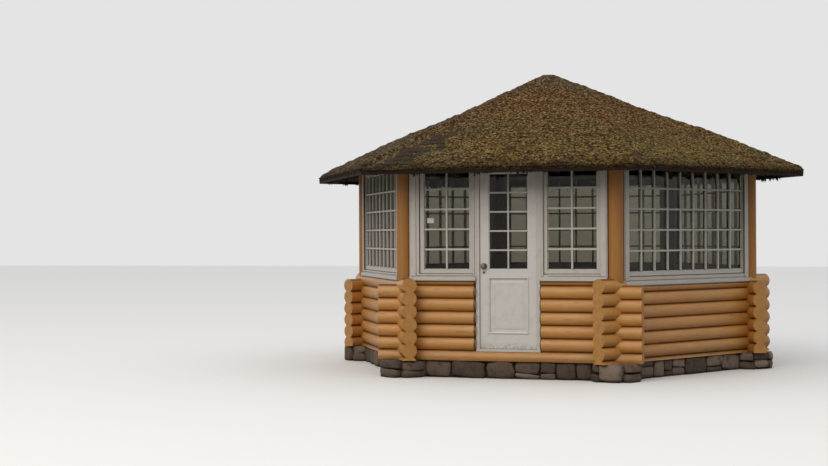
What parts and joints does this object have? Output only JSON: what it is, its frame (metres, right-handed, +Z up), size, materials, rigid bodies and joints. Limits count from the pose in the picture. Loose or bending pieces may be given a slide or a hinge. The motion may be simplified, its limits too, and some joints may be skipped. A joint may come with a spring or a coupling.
{
  "type": "hexagonal log pavilion",
  "caption": "Hexagonal log pavilion with glazed sides over saddle-notched log walls, round corner posts, a panelled glass door and a low mossy roof on a rubble plinth.",
  "frame": {"origin": "middle of the hexagonal plan, at ground level, under the plinth", "axes": "+Z up, -Y out of the door side, +X to the right seen from the door side, through two opposite corners"},
  "size_m": [6.3278, 5.4802, 3.6902],
  "materials": {
    "fieldstone": "rough grey-brown fieldstone",
    "ochre_log": "round logs with a worn ochre stain",
    "stained_post": "peeled round post with a deeper orange-brown stain",
    "dark_timber": "dark weathered timber",
    "floor_timber": "worn bare floor boards",
    "white_paint": "weathered white paint on wood",
    "door_paint": "greyish white paint with algae at the foot",
    "window_pane": "old thin window glass",
    "nickel": "dulled nickel plate",
    "iron": "dark iron",
    "moss_roof": "wood shingles under thick brown and olive moss",
    "grey_board": "bare grey-brown board"
  },
  "bodies": {
    "root": {"stone_plinth": "fieldstone", "corner_stones": "fieldstone", "floor_joists": "dark_timber", "floor_boards": "floor_timber", "front_sill_log": "ochre_log", "front_wall_left": "ochre_log", "front_wall_right": "ochre_log", "right_front_wall": "ochre_log", "right_back_wall": "ochre_log", "back_wall": "ochre_log", "left_back_wall": "ochre_log", "left_front_wall": "ochre_log", "corner_post_1": "stained_post", "corner_post_2": "stained_post", "corner_post_3": "stained_post", "corner_post_4": "stained_post", "corner_post_5": "stained_post", "corner_post_6": "stained_post", "front_left_window": "white_paint", "front_right_window": "white_paint", "right_front_window": "white_paint", "right_back_window": "white_paint", "back_window": "white_paint", "left_back_window": "white_paint", "left_front_window": "white_paint", "window_glass": "window_pane", "door_frame": "white_paint", "frame_hinges": "iron", "wall_plate": "dark_timber", "hip_rafters": "dark_timber", "roof_boss": "dark_timber", "roof_front": "moss_roof", "roof_right_front": "moss_roof", "roof_right_back": "moss_roof", "roof_back": "moss_roof", "roof_left_back": "moss_roof", "roof_left_front": "moss_roof", "fascia": "grey_board"},
    "door": {"door_leaf": "door_paint", "door_glass": "window_pane", "door_handle": "nickel", "leaf_hinges": "iron"}
  },
  "joints": [
    {"name": "door_swing", "type": "hinge", "parent": "root", "child": "door", "pos_m": [0.362, -2.14706, 1.3], "axis": [0, 0, -1], "range_deg": [0, 90]}
  ]
}
